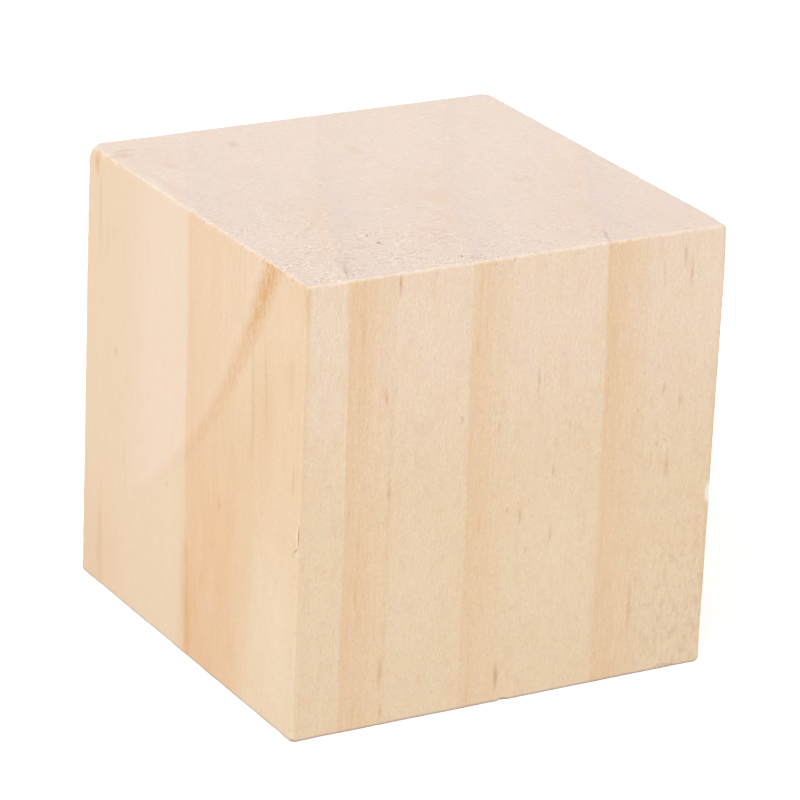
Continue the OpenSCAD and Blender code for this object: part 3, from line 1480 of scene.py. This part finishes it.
    def flecks(
        self, sketch: WoodSketch, contrast: Socket, late: Socket, colour: Socket
    ) -> Socket:
        """Scatter darker patches, blots, pores and fibre hairs over the sides.

        Args:
            sketch: Node helper.
            contrast: Strength of the fine pattern.
            late: Darkness of the growth rings.
            colour: Colour beneath the flecks.

        Returns:
            The flecked colour.
        """
        patches = sketch.fade(sketch.noise((0.8, 0.8, 0.16), 2.0), 0.5, 0.72, 0.0, 0.3)
        colour = sketch.blend(sketch.times(patches, contrast), colour, self.tones.dark)
        blots = sketch.fade(sketch.noise((1.1, 1.1, 0.7), 2.0), 0.5, 0.74, 0.0, 0.3)
        lower = sketch.fade(sketch.z, 44.0, 30.0, 0.4, 1.0)
        colour = sketch.blend(sketch.times(blots, lower, contrast), colour, self.tones.blot)
        pores = sketch.fade(sketch.noise((3.4, 3.4, 0.9)), 0.64, 0.82, 0.0, 0.24)
        colour = sketch.blend(sketch.times(pores, contrast), colour, Tone.BROWN.value)
        hairs = sketch.fade(sketch.noise((3.6, 3.6, 0.22)), 0.55, 0.8, 0.0, 0.4)
        return sketch.blend(sketch.times(hairs, late, contrast), colour, Tone.RUST.value)

    def mottle(self, sketch: WoodSketch, colour: Socket) -> Socket:
        """Mottle the front low on the right, and put sparse flecks on the right face and back.

        Args:
            sketch: Node helper.
            colour: Colour beneath the flecks.

        Returns:
            The flecked colour.
        """
        right = sketch.fade(sketch.math("MULTIPLY_ADD", sketch.z, -0.12, sketch.x), 12.0, 20.0)
        low = sketch.times(sketch.fade(sketch.z, 25.0, 12.0), sketch.fade(sketch.y, 0.0, -20.0))
        dense = sketch.times(right, low)
        flecks = sketch.noise((2.1, 2.1, 1.0), 2.0)
        sparse = sketch.noise((1.6, 1.6, 0.4), 0.0)
        spots = sketch.times(sketch.fade(flecks, 0.48, 0.68, 0.0, 0.09), dense)
        chips = sketch.times(sketch.fade(flecks, 0.44, 0.3, 0.0, 0.08), dense)
        few = sketch.times(sketch.fade(sparse, 0.74, 0.9, 0.0, 0.3), sketch.on_hidden())
        colour = sketch.blend(chips, colour, self.tones.light)
        colour = sketch.blend(sketch.times(spots, 0.6), colour, Tone.DARK.value)
        return sketch.blend(sketch.math("ADD", spots, few), colour, Tone.BROWN.value)

    def figure(
        self, sketch: WoodSketch, on_left: Socket, pale_share: Socket, late: Socket
    ) -> tuple[Socket, Socket, list[tuple[Socket, Colour]]]:
        """Draw the resin streak of the left face and the shades that it parts.

        The wood above the streak is paler, and the wood below it is browner.

        Args:
            sketch: Node helper.
            on_left: Share of the left face.
            pale_share: Share of the lower of the two pale colours.
            late: Darkness of the growth rings.

        Returns:
            The new pale share, the new darkness, and shares with the colours they blend in.
        """
        across = sketch.math("MULTIPLY_ADD", sketch.y, -1 / SIDE_MM, 0.5)
        down = sketch.math("MULTIPLY_ADD", sketch.z, -1 / SIDE_MM, 1.0)
        beside = self.beside_streak(sketch, across, down)
        below = sketch.times(sketch.fade(beside, -2.0, 2.5), on_left)
        above = sketch.math("SUBTRACT", on_left, below)
        stay_high = sketch.times(above, sketch.fade(across, 0.16, 0.42))
        cloudy = sketch.noise((0.45, 0.45, 0.1), 2.0)
        pale_share = sketch.between(on_left, pale_share, sketch.swing(cloudy, -0.4, 0.9))
        pale_share = sketch.between(stay_high, pale_share, -0.45)
        edge = sketch.math("MULTIPLY_ADD", sketch.math("SUBTRACT", down, 0.5), 0.14, across)
        browner = sketch.times(
            below,
            sketch.fade(down, 0.25, 0.65),
            sketch.fade(edge, 0.88, 0.78),
            sketch.fade(late, 0.1, 0.45),
            sketch.fade(cloudy, 0.3, 0.7, 0.7, 1.3),
        )
        front_low = sketch.times(
            below, sketch.fade(down, 0.35, 0.65), sketch.fade(edge, 0.78, 0.88)
        )
        late = sketch.times(late, sketch.rest(front_low))
        strands = sketch.noise((2.6, 2.6, 0.7), 2.0)
        strands = sketch.swing(sketch.noise((4.6, 4.6, 2.4)), 0.8, strands)
        width = sketch.fade(down, 0.0, 0.3, *self.streak.half_widths)
        from_middle = sketch.math("DIVIDE", sketch.math("ABSOLUTE", beside), width)
        core = sketch.math("SUBTRACT", 1.0, from_middle, clamp=True)
        strength = sketch.ramp(down, self.streak.fading)
        core = sketch.times(sketch.fade(core, 0.0, 0.9), strength, on_left)
        dark_strand = sketch.times(core, sketch.fade(strands, 0.36, 0.66, 0.5, 0.92))
        light_strand = sketch.times(core, sketch.fade(strands, 0.4, 0.26, 0.0, 0.2))
        strip = sketch.times(
            sketch.fade(across, 0.84, 0.93), on_left, sketch.fade(down, 0.9, 0.5)
        )
        rear = sketch.times(sketch.fade(across, 0.5, 0.42), on_left)
        low_rear = sketch.times(
            sketch.fade(across, 0.26, 0.1), on_left, sketch.fade(down, 0.6, 0.95)
        )
        layers = [
            (sketch.times(strip, 0.14), self.tones.brown_shade),
            (sketch.times(rear, 0.05), Tone.PALE.value),
            (sketch.times(low_rear, 0.2), self.tones.brown_shade),
            (sketch.times(browner, 0.42), self.tones.brown_shade),
            (dark_strand, self.tones.resin),
            (light_strand, self.tones.light),
        ]
        return pale_share, late, layers

    def beside_streak(self, sketch: WoodSketch, across: Socket, down: Socket) -> Socket:
        """Measure how far points of the left face lie in front of the streak's middle.

        Args:
            sketch: Node helper.
            across: Place from the left edge of the face, 0 to 1.
            down: Place from the upper edge of the face, 0 to 1.

        Returns:
            Distances in millimetres, below zero behind it.
        """
        square = sketch.times(down, down)
        slope = sketch.math("MULTIPLY_ADD", square, self.streak.bend, self.streak.slope)
        middle = sketch.math("MULTIPLY_ADD", down, slope, self.streak.start)
        beside = sketch.times(sketch.math("SUBTRACT", across, middle), SIDE_MM)
        return sketch.swing(sketch.noise((1.4, 1.4, 0.5), 2.0), self.streak.ragged, beside)

    def end_grain(
        self, sketch: WoodSketch, late: Socket, warm: Socket
    ) -> tuple[Socket, Socket]:
        """Draw the wood of the top and the bottom.

        Args:
            sketch: Node helper.
            late: Darkness of the growth rings.
            warm: Share of the warm colour beside the growth rings.

        Returns:
            The colour and the height.
        """
        curl = sketch.noise_colour((1.1, 1.1, 1.0))
        curl = sketch.vector_math("MULTIPLY", curl, (1.4, 1.4, 0.0))
        curled = sketch.vector_math("ADD", sketch.millimetres, curl)
        lines = sketch.noise((1.5, 3.2, 1.0), 2.0, curled)
        grains = sketch.noise((4.2, 4.6, 3.0), 1.0, curled)
        ring_strength = sketch.fade(sketch.y, -18.0, 22.0, 0.5, 0.24)
        share = sketch.math("MULTIPLY_ADD", late, ring_strength, 0.1)
        colour = sketch.blend(share, self.tones.end_pale, self.tones.end_dark)
        front = sketch.times(
            sketch.fade(sketch.y, 10.0, -6.0),
            sketch.fade(sketch.y, -26.0, -20.0),
            sketch.fade(sketch.noise((0.4, 0.16, 0.3)), 0.3, 0.62, 0.15, 0.65),
        )
        colour = sketch.blend(sketch.times(warm, front), colour, self.tones.end_warm)
        away = sketch.math("ADD", sketch.times(sketch.x, 0.6), sketch.y)
        patchy = sketch.noise((0.35, 0.35, 0.3), 2.0)
        rough = sketch.times(
            sketch.fade(away, -38.0, -4.0, 0.66, 0.2), sketch.fade(patchy, 0.35, 0.65, 0.5, 1.4)
        )
        colour = sketch.lighten(grains, rough, colour)
        colour = sketch.lighten(lines, rough, colour)
        sawn = sketch.noise_colour((1.0, 3.4, 1.0), 1.0, curled)
        colour = sketch.tinge(sawn, (0.04, 0.11, 0.17), colour)
        hairs = sketch.fade(sketch.noise((0.8, 5.0, 1.0), 1.0, curled), 0.58, 0.8, 0.0, 0.55)
        colour = sketch.blend(sketch.times(hairs, rough), colour, Tone.RUST.value)
        clouds = sketch.noise_colour((0.5, 0.5, 0.5), 2.0)
        colour = sketch.tinge(clouds, (0.06, 0.085, 0.12), colour)
        level = sketch.fade(away, -34.0, 30.0, 0.98, 1.03)
        colour = sketch.vector_math("MULTIPLY", colour, sketch.grey(level))
        shaky = sketch.shaken((2.0, 2.0, 2.0), (0.6, 0.6, 0.0))
        colour = self.marks(sketch, shaky, self.end_strokes, colour)
        return colour, sketch.math("MULTIPLY_ADD", lines, 1.5, grains)

    def arris_place(self, sketch: WoodSketch, worn: ArrisTone) -> Socket:
        """Find where one arris is.

        Args:
            sketch: Node helper.
            worn: The arris.

        Returns:
            Share that is 1 along the arris and 0 away from it.
        """
        half = self.side / MM / 2
        close_share = 0.4
        share = 1.0
        for value, towards, middle in zip(
            (sketch.x, sketch.y, sketch.z), worn.towards, (0.0, 0.0, half)
        ):
            if towards:
                far = middle + towards * (half - worn.reach)
                close = middle + towards * (half - close_share * worn.reach)
                share = sketch.times(sketch.fade(value, far, close), share)
        return share

    def wear(self, sketch: WoodSketch, colour: Socket) -> Socket:
        """Add the colours of the arrises with their painted highlight and painted shade, the fresh
        wood in the chip and the painted shade in the hollows.

        Args:
            sketch: Node helper.
            colour: Colour of the whole wood.

        Returns:
            The colour of the worn wood.
        """
        full_share = 0.3
        hollow_strength = 0.55
        edge = sketch.attribute("arris")
        patchy = sketch.fade(sketch.noise((0.9, 0.9, 0.5), 2.0), 0.38, 0.6)
        for worn in self.arris_tones:
            close = sketch.fade(edge, worn.width, full_share * worn.width)
            share = sketch.times(self.arris_place(sketch, worn), close)
            if worn.patchy:
                share = sketch.times(share, patchy)
            colour = sketch.blend(sketch.times(share, worn.strength), colour, worn.colour)
        colour = sketch.blend(sketch.attribute("fresh"), colour, self.tones.fresh)
        # Painted shade at the bottom of the hollows.
        hollow = sketch.times(sketch.attribute("hollow"), hollow_strength)
        return sketch.blend(hollow, colour, self.tones.hollow)


@dataclass(frozen=True)
class Lamp:
    """A soft square lamp that looks at the block.

    Attributes:
        name: Name of the lamp.
        place: Place in metres.
        power: Power in watts.
        size: Side of the lamp in metres.
    """

    name: str
    place: Triple
    power: float
    size: float = 0.5


@dataclass
class Studio:
    """The pale floor, the soft light and the camera.

    Attributes:
        side: Side of the block in metres.
        azimuth: Heading of the camera in degrees.
        elevation: Height of the camera over the floor in degrees.
        roll: Turn of the camera about its own line of sight in degrees.
        lens: Focal length in millimetres.
        film: Width of the film in millimetres.
        clip: Nearest and farthest distance that the camera shows, in metres.
        place: Place of the camera in sides of the block.
        lamps: The lamps.
        floor_reach: Distance from the middle of the floor to its edges in metres.
        floor_grey: Paleness of the floor.
        floor_glow: Light that the floor gives off to the camera only.
        surround: Strength of the even light from all around.
    """

    side: float
    azimuth: float = -30.19
    elevation: float = 20.96
    roll: float = 2.45
    lens: float = 203.9
    film: float = 36.0
    clip: tuple[float, float] = (0.05, 20.0)
    place: Triple = (-4.5994, -7.9321, 4.0195)
    lamps: tuple[Lamp, ...] = (
        Lamp("key_light", (-0.66, -0.42, 0.645), 5.2),
        Lamp("fill_light", (0.5, -0.75, 0.455), 0.95),
    )
    floor_reach: float = 3.0
    floor_grey: float = 0.8
    floor_glow: float = 0.5
    surround: float = 0.64

    def build(self) -> None:
        """Make the floor, the light and the camera."""
        self.add_floor()
        self.add_world()
        for lamp in self.lamps:
            self.add_lamp(lamp)
        self.add_camera()

    def add_floor(self) -> None:
        """Lay a pale floor that looks white to the camera and still takes a shadow."""
        surface = bmesh.new()
        bmesh.ops.create_grid(surface, x_segments=2, y_segments=2, size=self.floor_reach)
        mesh = bpy.data.meshes.new("floor")
        surface.to_mesh(mesh)
        surface.free()
        add_to_scene("floor", mesh)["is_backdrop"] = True
        paint = bpy.data.materials.new("pale_floor")
        sketch = NodeSketch(paint)
        glow = sketch.add("ShaderNodeEmission")
        glow.inputs["Color"].default_value = sketch.WHITE
        sketch.feed(glow.inputs["Strength"], sketch.times(sketch.seen(), self.floor_glow))
        matte = sketch.add("ShaderNodeBsdfDiffuse")
        grey = self.floor_grey
        matte.inputs["Color"].default_value = (grey, grey, grey, 1)
        both = sketch.add("ShaderNodeAddShader")
        sketch.feed(both.inputs[0], matte.outputs[0])
        sketch.feed(both.inputs[1], glow.outputs[0])
        sketch.finish("ShaderNodeOutputMaterial", both.outputs[0])
        mesh.materials.append(paint)

    def add_world(self) -> None:
        """Surround everything with even light that looks white to the camera."""
        world = bpy.data.worlds.new("soft_surround")
        sketch = NodeSketch(world)
        shell = sketch.add("ShaderNodeBackground")
        shell.inputs["Color"].default_value = sketch.WHITE
        strength = sketch.fade(sketch.seen(), 0.0, 1.0, self.surround, 1.0)
        sketch.feed(shell.inputs["Strength"], strength)
        sketch.finish("ShaderNodeOutputWorld", shell.outputs[0])
        bpy.context.scene.world = world

    def add_lamp(self, lamp: Lamp) -> None:
        """Hang a lamp and point it at the middle of the block.

        Args:
            lamp: The lamp.
        """
        data = bpy.data.lights.new(lamp.name, "AREA")
        data.shape = "SQUARE"
        data.size = lamp.size
        data.energy = lamp.power
        light = add_to_scene(lamp.name, data)
        light.location = lamp.place
        towards = Vector((0, 0, self.side / 2)) - Vector(lamp.place)
        light.rotation_mode = "QUATERNION"
        light.rotation_quaternion = towards.to_track_quat("-Z", "Y")

    def add_camera(self) -> None:
        """Set up the camera from its heading, tilt and roll."""
        azimuth = math.radians(self.azimuth)
        elevation = math.radians(self.elevation)
        roll = math.radians(self.roll)
        back = Vector(
            (
                math.sin(azimuth) * math.cos(elevation),
                -math.cos(azimuth) * math.cos(elevation),
                math.sin(elevation),
            )
        )
        right = Vector((0, 0, 1)).cross(back).normalized()
        up = back.cross(right)
        rolled_right = right * math.cos(roll) + up * math.sin(roll)
        rolled_up = up * math.cos(roll) - right * math.sin(roll)
        data = bpy.data.cameras.new("camera")
        data.lens = self.lens
        data.sensor_width = self.film
        data.clip_start, data.clip_end = self.clip
        camera = add_to_scene("camera", data)
        turn = Matrix((rolled_right, rolled_up, back)).transposed()
        camera.matrix_world = Matrix.Translation(Vector(self.place) * self.side) @ turn.to_4x4()
        bpy.context.scene.camera = camera


def main() -> None:
    """Build the block, its wood and the studio."""
    logging.basicConfig(level=logging.INFO, format="%(name)s: %(message)s")
    cad_low, cad_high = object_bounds()
    side = (cad_high - cad_low).x
    bpy.context.scene.view_settings.view_transform = "Standard"
    block = WornBlock().build()
    LOG.info("block: %d faces", len(block.data.polygons))
    block.data.materials.append(Softwood(side).build())
    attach(block, "root")
    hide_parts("block")
    Studio(side).build()


if __name__ == "__main__":
    main()
